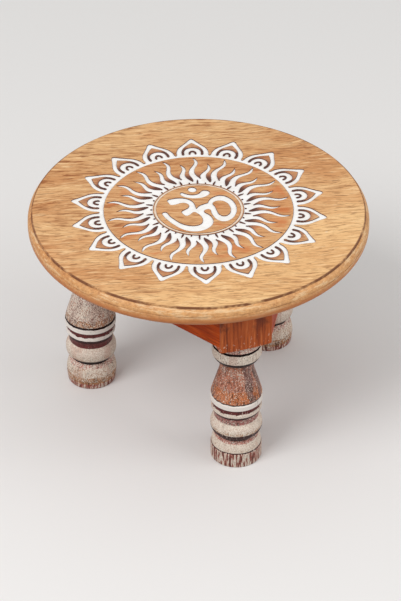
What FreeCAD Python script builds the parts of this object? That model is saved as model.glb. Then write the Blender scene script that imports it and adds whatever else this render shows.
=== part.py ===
import FreeCAD
import math
import os

import Part
import Sketcher
from FreeCAD import Placement, Rotation, Vector

# A small round low table of solid wood: one thick disc on three turned legs.
# Each leg keeps a square block at its top, and three rails are tenoned into the blocks.
# The origin is on the floor under the middle of the disc, with Z up and one leg at the front, on -Y.

LEG_COUNT = 3
FRONT_ANGLE = -90.0
HALF_SECTOR = 180.0 / LEG_COUNT
ALONG = math.cos(math.radians(HALF_SECTOR))
ACROSS = math.sin(math.radians(HALF_SECTOR))

# Driving dimensions in millimetres. Heights of the turned members stack up from the floor.
SIZES = {
    "top_radius": 127.0,
    "top_thickness": 16.0,
    "top_rim_inset": 3.0,
    "top_rim_step": 1.5,
    "top_nose_height": 5.1,
    "top_nose_swell": 0.8,
    "top_lower_round": 6.0,
    "leg_circle_radius": 84.5,
    "block_side": 40.0,
    "block_height": 40.2,
    "block_edge_ease": 1.0,
    "block_shoulder_rise": 1.0,
    "foot_radius": 19.2,
    "foot_ease": 0.9,
    "foot_height": 10.5,
    "dome_height": 11.7,
    "dome_swell": 1.1,
    "waist_radius": 15.5,
    "bead_height": 15.0,
    "bead_swell": 3.3,
    "bead_top_radius": 16.7,
    "cove_height": 8.8,
    "cove_sink": 0.6,
    "cove_top_radius": 18.3,
    "lower_ring_radius": 19.0,
    "lower_ring_height": 2.8,
    "band_radius": 17.9,
    "band_height": 4.4,
    "upper_ring_radius": 19.6,
    "upper_ring_height": 4.0,
    "vase_groove_radius": 18.4,
    "vase_groove_height": 1.4,
    "vase_radius": 19.1,
    "vase_height": 22.4,
    "neck_radius": 12.7,
    "neck_height": 8.2,
    "flare_height": 5.8,
    "flare_swell": 0.9,
    "collar_radius": 18.3,
    "collar_height": 8.1,
    "collar_groove_radius": 16.6,
    "collar_groove_height": 1.6,
    "shoulder_radius": 18.2,
    "shoulder_height": 6.1,
    "rail_thickness": 19.0,
    "rail_height": 36.3,
    "rail_edge_ease": 0.8,
    "tenon_thickness": 7.0,
    "tenon_length": 11.0,
    "tenon_shoulder": 6.5,
    "mortise_clearance": 0.2,
    "screw_spacing": 56.0,
    "screw_length": 30.0,
    "screw_radius": 2.0,
    "screw_tip_length": 4.0,
    "screw_bite": 10.0,
    "screw_head_radius": 4.0,
    "screw_head_height": 2.6,
    "screw_crown_radius": 2.8,
    "screw_clearance": 0.2,
    "cut_overrun": 2.0,
}

# How many straight facets stand for each kind of round stretch
RIM_FACETS = 3
BEAD_FACETS = 4
HOLLOW_FACETS = 2

# An edge counts as parallel to an axis when its direction leans less than this to either side
ALIGNED = 0.01

document = FreeCAD.newDocument("low_table")
sheet = document.addObject("Spreadsheet::Sheet", "Sizes")


class Measure:
    """A length that carries its number and the sheet expression that gives it."""

    def __init__(self, number, text):
        self.number = number
        self.text = text

    def joined(self, sign, other, number):
        other_text = other.text if isinstance(other, Measure) else repr(other)
        return Measure(number, f"({self.text} {sign} {other_text})")

    def __add__(self, other):
        return self.joined("+", other, self.number + number_of(other))

    def __sub__(self, other):
        return self.joined("-", other, self.number - number_of(other))

    def __mul__(self, other):
        return self.joined("*", other, self.number * number_of(other))

    def __truediv__(self, other):
        return self.joined("/", other, self.number / number_of(other))

    def __neg__(self):
        return Measure(-self.number, f"(0 - {self.text})")


ZERO = Measure(0.0, "0")


def number_of(value):
    return value.number if isinstance(value, Measure) else value


def size(name):
    return Measure(SIZES[name], f"Sizes.{name}")


def root(measure):
    return Measure(math.sqrt(measure.number), f"sqrt({measure.text})")


def fill_sheet():
    for row, (name, value) in enumerate(SIZES.items(), start=1):
        sheet.set(f"A{row}", name)
        sheet.set(f"B{row}", str(value))
        sheet.setAlias(f"B{row}", name)
    document.recompute()


def new_body(label):
    body = document.addObject("PartDesign::Body", label)
    body.Label = label
    return body


def origin_plane(body, role):
    return next(feature for feature in body.Origin.OriginFeatures if feature.Role == role)


def new_sketch(body, name, role, lift=ZERO):
    """A sketch on one of the body's own planes, lifted along that plane's normal."""
    sketch = body.newObject("Sketcher::SketchObject", f"{body.Label}_{name}")
    sketch.AttachmentSupport = (origin_plane(body, role), [""])
    sketch.MapMode = "FlatFace"
    if lift is not ZERO:
        sketch.AttachmentOffset = Placement(Vector(0, 0, lift.number), Rotation())
        sketch.setExpression("AttachmentOffset.Base.z", lift.text)
    return sketch


def pin(sketch, kind, where, measure):
    """Ties one coordinate or radius in a sketch to its expression."""
    name = f"tie_{sketch.ConstraintCount}"
    index = sketch.addConstraint(Sketcher.Constraint(kind, *where, measure.number))
    sketch.renameConstraint(index, name)
    sketch.setExpression(f"Constraints.{name}", measure.text)


def pin_point(sketch, geometry, end, x, y):
    if x is ZERO:
        sketch.addConstraint(Sketcher.Constraint("PointOnObject", geometry, end, -2))
    else:
        pin(sketch, "DistanceX", (-1, 1, geometry, end), x)
    if y is ZERO:
        sketch.addConstraint(Sketcher.Constraint("PointOnObject", geometry, end, -1))
    else:
        pin(sketch, "DistanceY", (-1, 1, geometry, end), y)


def rounded(start, end, swell, facets):
    """Corners from start to the last one before end, on a curve that swells to the right of the way."""
    (x, y), (end_x, end_y) = start, end
    across, up = end_x - x, end_y - y
    chord = root(across * across + up * up)
    corners = [start]
    for step in range(1, facets):
        share = step / facets
        bulge = swell * (4 * share * (1 - share)) / chord
        corners.append((x + across * share + up * bulge, y + up * share - across * bulge))
    return corners


def draw_loop(sketch, corners):
    """A closed outline of straight lines through the corners."""
    count = len(corners)
    for (x, y), (next_x, next_y) in zip(corners, corners[1:] + corners[:1]):
        start = Vector(x.number, y.number)
        sketch.addGeometry(Part.LineSegment(start, Vector(next_x.number, next_y.number)))
    for index, (x, y) in enumerate(corners):
        sketch.addConstraint(Sketcher.Constraint("Coincident", (index - 1) % count, 2, index, 1))
        pin_point(sketch, index, 1, x, y)


def draw_circle(sketch, x, y, radius):
    centre = Vector(x.number, y.number)
    index = sketch.addGeometry(Part.Circle(centre, Vector(0, 0, 1), radius.number))
    pin_point(sketch, index, 3, x, y)
    pin(sketch, "Radius", (index,), radius)


def revolve(body, sketch, kind="PartDesign::Revolution"):
    turned = body.newObject(kind, f"{sketch.Label}_turned")
    turned.Profile = (sketch, [""])
    turned.ReferenceAxis = (sketch, ["V_Axis"])
    turned.Angle = 360.0
    return turned


def extrude(body, sketch, length, kind="PartDesign::Pad", upward=True, midplane=False):
    """A pad or pocket of a sketch. A pocket cuts against the sketch's normal unless reversed."""
    block = body.newObject(kind, f"{sketch.Label}_run")
    block.Profile = (sketch, [""])
    block.Midplane = midplane
    block.Reversed = upward == (kind == "PartDesign::Pocket")
    block.setExpression("Length", length.text)
    return block


def mirror(body, feature, role):
    mirrored = body.newObject("PartDesign::Mirrored", f"{feature.Label}_mirrored")
    mirrored.Originals = [feature]
    mirrored.MirrorPlane = (origin_plane(body, role), [""])
    body.Tip = mirrored
    return mirrored


def ease_edges(body, kind, base, wanted, width):
    """Rounds or chamfers the straight edges of the base feature that are wanted."""
    document.recompute()
    names = []
    for index, edge in enumerate(base.Shape.Edges, start=1):
        if edge.Curve.TypeId == "Part::GeomLine":
            if wanted(edge.CenterOfMass, edge.tangentAt(edge.FirstParameter)):
                names.append(f"Edge{index}")
    eased = body.newObject(kind, f"{base.Label}_eased")
    eased.Base = (base, names)
    eased.setExpression("Radius" if kind == "PartDesign::Fillet" else "Size", width.text)
    return eased


def place(body, x, y, z, angle=0.0):
    body.Placement = Placement(Vector(x.number, y.number, z.number), Rotation(Vector(0, 0, 1), angle))
    for axis, measure in (("x", x), ("y", y), ("z", z)):
        if measure is not ZERO:
            body.setExpression(f"Placement.Base.{axis}", measure.text)


def turned(x, y, angle):
    """The point x, y turned by an angle in degrees about the middle of the table."""
    cosine = math.cos(math.radians(angle))
    sine = math.sin(math.radians(angle))
    return x * cosine - y * sine, x * sine + y * cosine


# Where the pieces meet

TURNED_MEMBERS = [
    "foot_height", "dome_height", "bead_height", "cove_height", "lower_ring_height", "band_height",
    "upper_ring_height", "vase_groove_height", "vase_height", "neck_height", "flare_height",
    "collar_height", "collar_groove_height", "shoulder_height",
]


def turned_levels():
    """The height above the floor at which each turned member ends."""
    levels = {}
    level = ZERO
    for name in TURNED_MEMBERS:
        level = size(name) if level is ZERO else level + size(name)
        levels[name] = level
    return levels


LEVELS = turned_levels()
BLOCK_BASE = LEVELS["shoulder_height"]
TOP_BASE = BLOCK_BASE + size("block_height")
RAIL_BASE = TOP_BASE - size("rail_height")
HALF_BLOCK = size("block_side") / 2

# A rail lies across its own X axis. Its inner face runs through the back corners of the blocks.
RAIL_INNER = (size("leg_circle_radius") - HALF_BLOCK) * ALONG + HALF_BLOCK * ACROSS
RAIL_OUTER = RAIL_INNER + size("rail_thickness")
RAIL_MIDDLE = RAIL_INNER + size("rail_thickness") / 2
TENON_HEIGHT = size("rail_height") - size("tenon_shoulder") * 2

# A screw's head sits as deep in the rail as the screw's length and its bite in the disc ask for
COUNTERBORE_DEPTH = size("rail_height") + size("screw_bite") - size("screw_length")


def rail_end(x):
    """How far along Y the rail reaches at x, where it meets the side of the leg's block."""
    return (x * ACROSS - HALF_BLOCK) / ALONG


def screw_spots():
    """The two screws in each rail, as places in the table's own plane."""
    reach = size("screw_spacing") / 2
    spots = []
    for index in range(LEG_COUNT):
        for y in (reach, -reach):
            spots.append(turned(RAIL_MIDDLE, y, rail_angle(index)))
    return spots


def leg_angle(index):
    return FRONT_ANGLE + 2 * HALF_SECTOR * index


def rail_angle(index):
    return leg_angle(index) + HALF_SECTOR


def make_tabletop():
    """A thick disc with a small step inside its rounded nose, drilled from below for the screws."""
    body = new_body("tabletop")
    radius, thickness, lower = size("top_radius"), size("top_thickness"), size("top_lower_round")
    step_radius = radius - size("top_rim_inset")
    step_level = thickness - size("top_rim_step")
    nose_foot = step_level - size("top_nose_height")
    quarter_round = lower * (1 - math.sqrt(0.5))
    corners = [(ZERO, ZERO)]
    corners += rounded((radius - lower, ZERO), (radius, lower), quarter_round, RIM_FACETS)
    corners += [(radius, lower)]
    corners += rounded((radius, nose_foot), (step_radius, step_level), size("top_nose_swell"), RIM_FACETS)
    corners += [(step_radius, step_level), (step_radius, thickness), (ZERO, thickness)]
    profile = new_sketch(body, "profile", "XZ_Plane")
    draw_loop(profile, corners)
    disc = revolve(body, profile)
    holes = new_sketch(body, "pilot_holes", "XY_Plane")
    for x, y in screw_spots():
        draw_circle(holes, x, y, size("screw_radius") + size("screw_clearance"))
    drilled = extrude(body, holes, size("screw_bite") + size("screw_clearance"), "PartDesign::Pocket")
    place(body, ZERO, ZERO, TOP_BASE)
    return body, [(disc, drilled)]


def leg_profile():
    """The turned part from the floor to the underside of the block, member by member."""
    level = LEVELS
    foot, waist, neck = size("foot_radius"), size("waist_radius"), size("neck_radius")
    bead_top, cove_top = size("bead_top_radius"), size("cove_top_radius")
    dome_foot = (foot, level["foot_height"])
    bead_foot = (waist, level["dome_height"])
    cove_foot = (bead_top, level["bead_height"])
    cove_head = (cove_top, level["cove_height"])
    flare_foot = (neck, level["neck_height"])
    collar_foot = (size("collar_radius"), level["flare_height"])

    corners = [(ZERO, ZERO), (foot - size("foot_ease"), ZERO), (foot, size("foot_ease"))]
    corners += rounded(dome_foot, bead_foot, size("dome_swell"), HOLLOW_FACETS)
    corners += rounded(bead_foot, cove_foot, size("bead_swell"), BEAD_FACETS)
    corners += rounded(cove_foot, cove_head, -size("cove_sink"), HOLLOW_FACETS)
    corners += [cove_head]
    corners += straight_member("lower_ring", level["cove_height"])
    corners += straight_member("band", level["lower_ring_height"])
    corners += straight_member("upper_ring", level["band_height"])
    corners += [groove_bottom("vase_groove", level["upper_ring_height"])]
    corners += [(size("vase_radius"), level["vase_groove_height"]), (neck, level["vase_height"])]
    corners += rounded(flare_foot, collar_foot, size("flare_swell"), HOLLOW_FACETS)
    corners += [collar_foot, (size("collar_radius"), level["collar_height"])]
    corners += [groove_bottom("collar_groove", level["collar_height"])]
    corners += straight_member("shoulder", level["collar_groove_height"])
    corners += [(ZERO, level["shoulder_height"])]
    return corners


def straight_member(name, start):
    """The two ends of a turned member with upright sides."""
    radius = size(f"{name}_radius")
    return [(radius, start), (radius, start + size(f"{name}_height"))]


def groove_bottom(name, start):
    """The lowest point of a V-shaped groove."""
    return size(f"{name}_radius"), start + size(f"{name}_height") / 2


def make_leg(index):
    """One length of wood: turned below, square above, with a slanting mortise for each rail."""
    body = new_body(f"leg_{index + 1}")
    profile = new_sketch(body, "profile", "XZ_Plane")
    draw_loop(profile, leg_profile())
    revolve(body, profile)

    square = new_sketch(body, "block", "XY_Plane", BLOCK_BASE)
    half = HALF_BLOCK
    draw_loop(square, [(-half, -half), (half, -half), (half, half), (-half, half)])
    block = extrude(body, square, size("block_height"))
    cuts = []

    # the lathe has clipped the lower corners of the square
    overrun = size("cut_overrun")
    corner = half * math.sqrt(2) + overrun
    clip = new_sketch(body, "shoulder", "XZ_Plane")
    draw_loop(clip, [
        (half, BLOCK_BASE - overrun),
        (corner, BLOCK_BASE - overrun),
        (corner, BLOCK_BASE + size("block_shoulder_rise")),
        (half, BLOCK_BASE),
    ])
    clipped = revolve(body, clip, "PartDesign::Groove")
    cuts.append((block, clipped))

    def outer_corner(middle, way):
        upright = abs(way.x) + abs(way.y) < ALIGNED
        return upright and middle.x > 0 and abs(middle.y) > size("shoulder_radius").number

    eased = ease_edges(body, "PartDesign::Fillet", clipped, outer_corner, size("block_edge_ease"))
    cuts.append((clipped, eased))

    # the mortise runs the way the rail does, from the block's side towards its outer face
    slot = new_sketch(body, "mortise", "XY_Plane", RAIL_BASE + size("rail_height") / 2)
    clearance = size("mortise_clearance")
    half_slot = (size("tenon_thickness") / 2 + clearance) / ALONG
    mouth = (RAIL_MIDDLE - HALF_BLOCK * ACROSS) / ALONG - size("leg_circle_radius")
    depth = size("tenon_length") + clearance
    inner_x, inner_y = mouth + depth * ACROSS, -half + depth * ALONG
    outer_x, outer_y = mouth - overrun * ACROSS, -half - overrun * ALONG
    draw_loop(slot, [
        (outer_x - half_slot, outer_y),
        (outer_x + half_slot, outer_y),
        (inner_x + half_slot, inner_y),
        (inner_x - half_slot, inner_y),
    ])
    mortise = extrude(body, slot, TENON_HEIGHT + clearance * 2, "PartDesign::Pocket", midplane=True)
    second = mirror(body, mortise, "XZ_Plane")
    cuts.append((eased, mortise))
    cuts.append((mortise, second))

    x, y = turned(size("leg_circle_radius"), ZERO, leg_angle(index))
    place(body, x, y, ZERO, leg_angle(index))
    return body, cuts


def make_rail(index):
    """A straight rail whose ends are cut on the slant to the blocks, with a tenon at each end."""
    body = new_body(f"rail_{index + 1}")
    plan = new_sketch(body, "plan", "XY_Plane")
    draw_loop(plan, [
        (RAIL_INNER, -rail_end(RAIL_INNER)),
        (RAIL_OUTER, -rail_end(RAIL_OUTER)),
        (RAIL_OUTER, rail_end(RAIL_OUTER)),
        (RAIL_INNER, rail_end(RAIL_INNER)),
    ])
    board = extrude(body, plan, size("rail_height"))

    def lower_edge(middle, way):
        lengthwise = abs(way.x) + abs(way.z) < ALIGNED
        return lengthwise and abs(middle.z) < size("rail_edge_ease").number

    eased = ease_edges(body, "PartDesign::Chamfer", board, lower_edge, size("rail_edge_ease"))

    overrun = size("cut_overrun")
    near, far = RAIL_MIDDLE - size("tenon_thickness") / 2, RAIL_MIDDLE + size("tenon_thickness") / 2
    tongue = new_sketch(body, "tenon", "XY_Plane", size("tenon_shoulder"))
    draw_loop(tongue, [
        (near, rail_end(near) - overrun),
        (far, rail_end(far) - overrun),
        (far, rail_end(far) + size("tenon_length")),
        (near, rail_end(near) + size("tenon_length")),
    ])
    tenon = extrude(body, tongue, TENON_HEIGHT)
    tenons = mirror(body, tenon, "XZ_Plane")

    drill = new_sketch(body, "screw_holes", "XY_Plane")
    reach = size("screw_spacing") / 2
    for y in (reach, -reach):
        draw_circle(drill, RAIL_MIDDLE, y, size("screw_radius") + size("screw_clearance"))
    drilled = drill_holes(body, drill)
    place(body, ZERO, ZERO, RAIL_BASE, rail_angle(index))
    return body, [(board, eased), (tenons, drilled)]


def drill_holes(body, drill):
    """Clearance holes right up through the rail, with a deep counterbore for the screw's head."""
    document.recompute()
    clearance = size("screw_clearance")
    hole = body.newObject("PartDesign::Hole", f"{body.Label}_drilled")
    hole.Profile = (drill, [""])
    document.recompute()
    hole.ThreadType = "None"
    hole.DepthType = "ThroughAll"
    hole.Reversed = True
    hole.HoleCutType = "Counterbore"
    hole.HoleCutCustomValues = True
    hole.setExpression("Diameter", ((size("screw_radius") + clearance) * 2).text)
    hole.setExpression("HoleCutDiameter", ((size("screw_head_radius") + clearance) * 2).text)
    hole.setExpression("HoleCutDepth", COUNTERBORE_DEPTH.text)
    body.Tip = hole
    return hole


def make_screw(index, x, y):
    """A pan-head wood screw, with its origin under its head."""
    body = new_body(f"top_screw_{index + 1}")
    radius, length = size("screw_radius"), size("screw_length")
    head_top = -size("screw_head_height")
    profile = new_sketch(body, "profile", "XZ_Plane")
    draw_loop(profile, [
        (ZERO, head_top),
        (size("screw_crown_radius"), head_top),
        (size("screw_head_radius"), ZERO),
        (radius, ZERO),
        (radius, length - size("screw_tip_length")),
        (ZERO, length),
    ])
    revolve(body, profile)
    place(body, x, y, RAIL_BASE + COUNTERBORE_DEPTH)
    return body


def make_screws():
    """All the screws that hold the disc, as one group of separate solids."""
    bodies = [make_screw(index, x, y) for index, (x, y) in enumerate(screw_spots())]
    group = document.addObject("Part::Compound", "top_screws")
    group.Label = "top_screws"
    group.Links = bodies
    return group


def check_model(nodes, cuts):
    """Stops before anything is written if a step failed or a cut took nothing away."""
    for item in document.Objects:
        if {"Invalid", "Error"} & set(item.State):
            raise RuntimeError(f"{item.Label} failed: {item.State}")
    for node in nodes:
        if node.Shape.isNull() or not node.Shape.isValid():
            raise RuntimeError(f"{node.Label} has no valid shape")
    for before, after in cuts:
        if after.Shape.Volume >= before.Shape.Volume:
            raise RuntimeError(f"{after.Label} removed nothing")


def main():
    fill_sheet()
    built = [make_tabletop()]
    built += [make_leg(index) for index in range(LEG_COUNT)]
    built += [make_rail(index) for index in range(LEG_COUNT)]
    nodes = [body for body, _ in built] + [make_screws()]
    cuts = [cut for _, body_cuts in built for cut in body_cuts]
    document.recompute()
    check_model(nodes, cuts)
    os.makedirs("parts", exist_ok=True)
    for node in nodes:
        node.Shape.exportStep(f"parts/{node.Label}.step")
        box = node.Shape.BoundBox
        print(f"{node.Label}: {len(node.Shape.Solids)} solid(s), {node.Shape.Volume:.0f} mm3, "
              f"z {box.ZMin:.2f} to {box.ZMax:.2f}")


main()
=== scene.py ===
import math

import bpy
from mathutils import Matrix, Vector


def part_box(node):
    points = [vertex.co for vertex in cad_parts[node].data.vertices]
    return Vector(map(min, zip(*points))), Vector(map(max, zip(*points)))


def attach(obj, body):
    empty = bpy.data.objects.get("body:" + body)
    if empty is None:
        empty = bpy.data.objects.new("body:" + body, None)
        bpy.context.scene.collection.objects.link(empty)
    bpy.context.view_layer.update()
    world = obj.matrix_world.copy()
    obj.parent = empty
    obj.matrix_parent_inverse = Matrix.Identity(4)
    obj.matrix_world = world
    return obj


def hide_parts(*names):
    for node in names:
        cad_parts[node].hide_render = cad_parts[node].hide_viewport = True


# A small round low table: a carved and painted disc on three turned legs with square blocks.
# Everything is in metres, with the floor at zero height and the middle of the disc over the origin.

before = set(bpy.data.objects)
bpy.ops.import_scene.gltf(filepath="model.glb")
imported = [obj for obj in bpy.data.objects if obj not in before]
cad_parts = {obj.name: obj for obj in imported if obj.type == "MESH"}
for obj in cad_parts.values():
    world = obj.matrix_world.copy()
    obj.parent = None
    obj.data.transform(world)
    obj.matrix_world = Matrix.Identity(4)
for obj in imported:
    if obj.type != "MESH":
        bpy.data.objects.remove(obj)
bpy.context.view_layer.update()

MM = 0.001
QUARTER_TURN = math.pi / 2
FULL_TURN = 2 * math.pi

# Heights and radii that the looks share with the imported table
TOP_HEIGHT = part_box("tabletop")[1][2]
TOP_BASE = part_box("tabletop")[0][2]
RAIL_BASE, RAIL_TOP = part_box("rail_1")[0][2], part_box("rail_1")[1][2]
BLOCK_BASE = 110.8 * MM
LEG_CIRCLE = 84.5 * MM
LEG_ANGLES = (-90.0, 30.0, 150.0)

# The pattern's upright direction is turned from the table's own Y axis by this much
PATTERN_TURN = math.radians(-16.0)


# Camera

def place_camera():
    """Puts the camera where the photograph was taken from, aimed with a small shift."""
    focal_pixels = 3000.0
    frame_width, frame_height = 401, 601
    pitch = math.radians(36.05)
    heading = math.radians(70.5)
    distance = 2228 * MM
    # where the middle of the top stands in the frame, in pixels from its upper left corner
    seen_across, seen_down = 198.50, 208.92
    middle_across = (seen_across - frame_width / 2) / focal_pixels
    middle_down = (seen_down - frame_height / 2) / focal_pixels

    right = Vector((math.sin(heading), -math.cos(heading), 0))
    level = Vector((math.cos(heading), math.sin(heading), 0))
    forward = level * math.cos(pitch) - Vector((0, 0, math.sin(pitch)))
    down = -level * math.sin(pitch) - Vector((0, 0, math.cos(pitch)))
    ray = (right * middle_across + down * middle_down + forward).normalized()
    lens = bpy.data.cameras.new("camera")
    lens.sensor_width = 36.0
    lens.lens = focal_pixels * lens.sensor_width / frame_height
    lens.clip_start = 0.05
    lens.clip_end = 20.0
    camera = bpy.data.objects.new("camera", lens)
    bpy.context.scene.collection.objects.link(camera)
    turn = Matrix((right, -down, -forward)).transposed().to_4x4()
    camera.matrix_world = Matrix.Translation(Vector((0, 0, TOP_HEIGHT)) - ray * distance) @ turn
    bpy.context.scene.camera = camera


# Recipes for materials

class Recipe:
    """Builds one material's nodes from a few plain steps, all on the object's own coordinates."""

    def __init__(self, name, turn=0.0):
        self.material = bpy.data.materials.new(name)
        self.material.use_nodes = True
        self.tree = self.material.node_tree
        self.finish = self.tree.nodes["Principled BSDF"]
        place = self.tree.nodes.new("ShaderNodeTexCoord").outputs["Object"]
        self.place = self.stretched(place, (1, 1, 1), turn)

    def add(self, kind, **settings):
        node = self.tree.nodes.new(kind)
        for name, value in settings.items():
            setattr(node, name, value)
        return node

    def feed(self, socket, value):
        """Links a socket to another node's output, or sets it to a plain value."""
        if isinstance(value, bpy.types.NodeSocket):
            self.tree.links.new(value, socket)
        elif isinstance(value, (tuple, list)) and socket.type == "RGBA" and len(value) == 3:
            socket.default_value = (*value, 1.0)
        else:
            socket.default_value = value

    def stretched(self, place, scale, turn=0.0, shift=(0, 0, 0)):
        """The place turned about Z and then scaled along each axis."""
        turned = self.add("ShaderNodeVectorRotate", rotation_type="Z_AXIS")
        self.feed(turned.inputs["Vector"], place)
        turned.inputs["Angle"].default_value = turn
        scaled = self.add("ShaderNodeMapping", vector_type="POINT")
        self.feed(scaled.inputs["Vector"], turned.outputs[0])
        scaled.inputs["Scale"].default_value = scale
        scaled.inputs["Location"].default_value = shift
        return scaled.outputs[0]

    def noise(self, place, scale=1.0, detail=3.0, rough=0.5, warp=0.0):
        node = self.add("ShaderNodeTexNoise")
        self.feed(node.inputs["Vector"], place)
        node.inputs["Scale"].default_value = scale
        node.inputs["Detail"].default_value = detail
        node.inputs["Roughness"].default_value = rough
        node.inputs["Distortion"].default_value = warp
        return node.outputs["Fac"]

    def grain(self, place, stretch, detail=3.0, rough=0.6, warp=0.0, shift=(0, 0, 0)):
        """Noise with its own scale along each axis, which draws it out into streaks."""
        return self.noise(self.stretched(place, stretch, 0.0, shift), 1.0, detail, rough, warp)

    def sums(self, operation, first, second=0.5, third=0.5):
        node = self.add("ShaderNodeMath", operation=operation)
        for socket, value in zip(node.inputs, (first, second, third)):
            self.feed(socket, value)
        return node.outputs[0]

    def times(self, first, second):
        return self.sums("MULTIPLY", first, second)

    def fade(self, value, low, high, bottom=0.0, top=1.0):
        """Runs from bottom to top while the value goes from low to high, and stays there outside."""
        node = self.add("ShaderNodeMapRange", clamp=True, interpolation_type="SMOOTHSTEP")
        for name, amount in zip(("Value", "From Min", "From Max", "To Min", "To Max"),
                                (value, low, high, bottom, top)):
            self.feed(node.inputs[name], amount)
        return node.outputs["Result"]

    def hump(self, value, low, high, falls, ends, top=1.0):
        """Rises while the value goes from low to high, and is gone again from falls to ends."""
        return self.times(self.fade(value, low, high), self.fade(value, falls, ends, top, 0.0))

    def bands(self, value, stops):
        """A colour for each stretch of the value. Each stop is where a stretch starts and its colour."""
        node = self.add("ShaderNodeValToRGB")
        node.color_ramp.interpolation = "CONSTANT"
        self.feed(node.inputs["Fac"], value)
        elements = node.color_ramp.elements
        while len(elements) < len(stops):
            elements.new(1.0)
        for element, (position, shade) in zip(elements, stops):
            element.position = position
            element.color = (*shade, 1.0)
        return node.outputs["Color"]

    def mix(self, amount, first, second):
        """Goes from the first colour to the second as the amount goes from 0 to 1."""
        node = self.add("ShaderNodeMix", data_type="RGBA")
        self.feed(node.inputs[0], amount)
        self.feed(node.inputs[6], first)
        self.feed(node.inputs[7], second)
        return node.outputs[2]

    def tint(self, under, shade, value, low, high, most=1.0):
        """Lays a shade over a colour, more of it as the value goes from low to high."""
        return self.mix(self.fade(value, low, high, 0.0, most), under, shade)

    def split(self, place):
        node = self.add("ShaderNodeSeparateXYZ")
        self.feed(node.inputs[0], place)
        return node.outputs

    def shift_by(self, place, amount, way):
        """Moves the place along a direction by an amount that changes from point to point."""
        scaled = self.add("ShaderNodeVectorMath", operation="SCALE")
        scaled.inputs[0].default_value = way
        self.feed(scaled.inputs["Scale"], amount)
        moved = self.add("ShaderNodeVectorMath", operation="ADD")
        self.feed(moved.inputs[0], place)
        self.feed(moved.inputs[1], scaled.outputs[0])
        return moved.outputs[0]

    def radius(self, place):
        """How far a place is from the Z axis."""
        x, y, _ = self.split(place)
        return self.sums("SQRT", self.sums("ADD", self.times(x, x), self.times(y, y)))

    def bump(self, *layers):
        """Stacks bumps. Each layer is a height and how deep it goes in metres."""
        normal = None
        for height, depth in layers:
            node = self.add("ShaderNodeBump")
            node.inputs["Strength"].default_value = 1.0
            node.inputs["Distance"].default_value = depth
            self.feed(node.inputs["Height"], height)
            if normal is not None:
                self.feed(node.inputs["Normal"], normal)
            normal = node.outputs["Normal"]
        self.feed(self.finish.inputs["Normal"], normal)

    def done(self, colour, rough, specular=0.5):
        self.feed(self.finish.inputs["Base Color"], colour)
        self.feed(self.finish.inputs["Roughness"], rough)
        self.finish.inputs["Specular IOR Level"].default_value = specular
        return self.material


def colour(red, green, blue):
    """A colour given as it looks on screen, from 0 to 255, as the shader needs it."""
    levels = (value / 255 for value in (red, green, blue))
    return tuple(v / 12.92 if v <= 0.04045 else ((v + 0.055) / 1.055) ** 2.4 for v in levels)


def top_wood():
    """Honey-coloured oiled board with wavy dark streaks, darker between the cuts of the carving."""
    recipe = Recipe("honey_board", -PATTERN_TURN)
    sway = recipe.grain(recipe.place, (11, 16, 16), 2.0, 0.5)
    swayed = recipe.shift_by(recipe.place, recipe.sums("SUBTRACT", sway, 0.5), (0, 26 * MM, 10 * MM))
    streaks = recipe.grain(swayed, (55, 520, 520), 3.0, 0.55)
    pores = recipe.grain(swayed, (110, 1250, 1250), 2.0, 0.6)
    across = recipe.radius(recipe.place)
    height = recipe.split(recipe.place)[2]

    plain = oiled_board(recipe, swayed, streaks, pores)
    waxed = waxed_carving(recipe, plain, across)
    wood = recipe.mix(recipe.fade(height, TOP_BASE + 4 * MM, TOP_BASE + 8 * MM), plain, waxed)
    wood = rubbed_and_shaded_rim(recipe, wood, across, height)
    wood = stray_paint(recipe, wood, across)
    recipe.bump((streaks, 0.10 * MM), (pores, 0.08 * MM))
    return recipe.done(wood, recipe.fade(streaks, 0.3, 0.7, 0.44, 0.6), 0.3)


def oiled_board(recipe, swayed, streaks, pores):
    """The board's own wood: a broad figure, pale and dark streaks, and fine pores."""
    place = recipe.place
    figure = recipe.grain(swayed, (7, 34, 34), 3.0, 0.55, 0.3)
    patches = recipe.noise(place, 16.0, 3.0, 0.6)
    wood = recipe.tint(colour(212, 152, 98), colour(243, 198, 142), figure, 0.34, 0.66)
    wood = recipe.tint(wood, colour(214, 142, 86), patches, 0.5, 0.75, 0.5)
    # the board is paler towards the front right and browner at the back left
    x, y, _ = recipe.split(place)
    slope = recipe.sums("SUBTRACT", recipe.times(x, 0.8), y)
    wood = recipe.mix(recipe.fade(slope, -90 * MM, 120 * MM, 0.32, 0.0), wood, colour(196, 138, 88))
    wood = recipe.tint(wood, colour(250, 204, 142), slope, 20 * MM, 130 * MM, 0.4)
    wood = recipe.tint(wood, colour(252, 214, 162), streaks, 0.46, 0.32, 0.6)
    strength = recipe.fade(recipe.noise(place, 24.0, 2.0, 0.5), 0.35, 0.65, 0.45, 1.0)
    strength = recipe.times(strength, recipe.fade(slope, -80 * MM, 100 * MM, 1.0, 0.5))
    dark = recipe.times(recipe.fade(streaks, 0.53, 0.64), strength)
    wood = recipe.mix(dark, wood, colour(160, 98, 54))
    return recipe.tint(wood, colour(132, 80, 42), pores, 0.54, 0.63, 0.6)


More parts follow.
